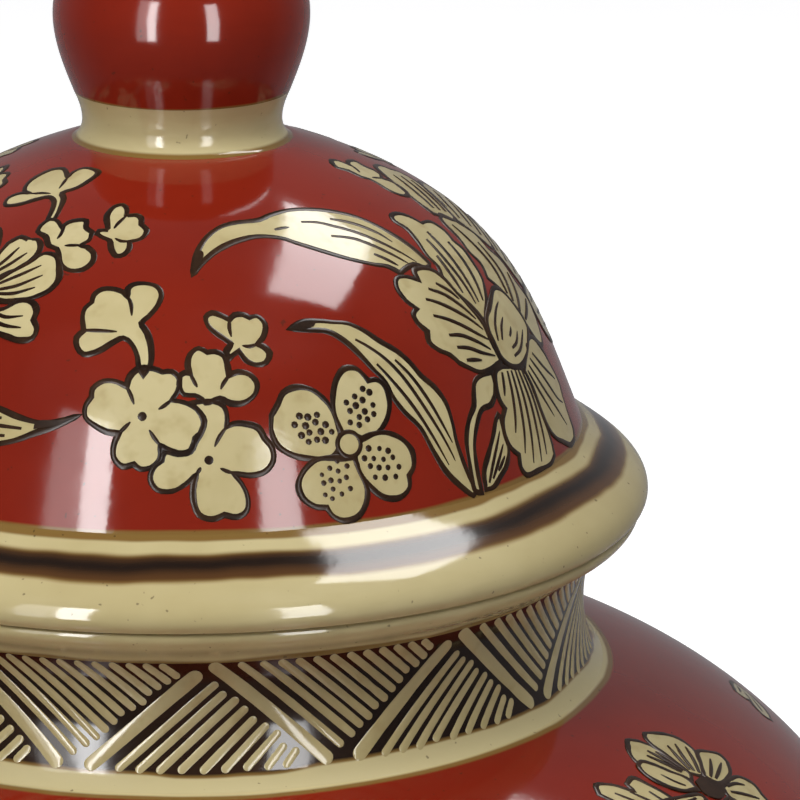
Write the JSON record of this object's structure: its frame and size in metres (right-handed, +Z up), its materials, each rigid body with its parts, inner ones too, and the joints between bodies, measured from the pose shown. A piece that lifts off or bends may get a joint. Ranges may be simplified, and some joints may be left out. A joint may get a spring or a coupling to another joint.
{
  "type": "ginger jar",
  "caption": "Lidded ginger jar with a shouldered round body, a short patterned neck, and a domed lid with a bud knob that lifts off.",
  "frame": {"origin": "centre of the circle on which the foot ring stands", "axes": "+Z up the jar's axis of revolution, through the knob; +X and +Y are level, and the front of the decoration faces -Y"},
  "size_m": [0.248, 0.248, 0.37],
  "materials": {
    "red_glaze": "high-gloss oxblood red glaze",
    "cream_glaze": "high-gloss warm cream glaze",
    "brown_glaze": "high-gloss dark brown brushwork under glaze",
    "bare_clay": "matt unglazed stoneware"
  },
  "bodies": {
    "jar": {"foot_ring": "bare_clay", "jar_body": "red_glaze", "jar_shoulder": "red_glaze", "jar_neck": "brown_glaze", "jar_lip": "cream_glaze"},
    "lid": {"lid_flange": "bare_clay", "lid_brim": "cream_glaze", "lid_dome": "red_glaze", "knob_collar": "cream_glaze", "lid_knob": "red_glaze"}
  },
  "joints": [
    {"name": "lid_lift", "type": "slide", "parent": "jar", "child": "lid", "axis": [0, 0, 1], "range_m": [0, 0.12]}
  ]
}
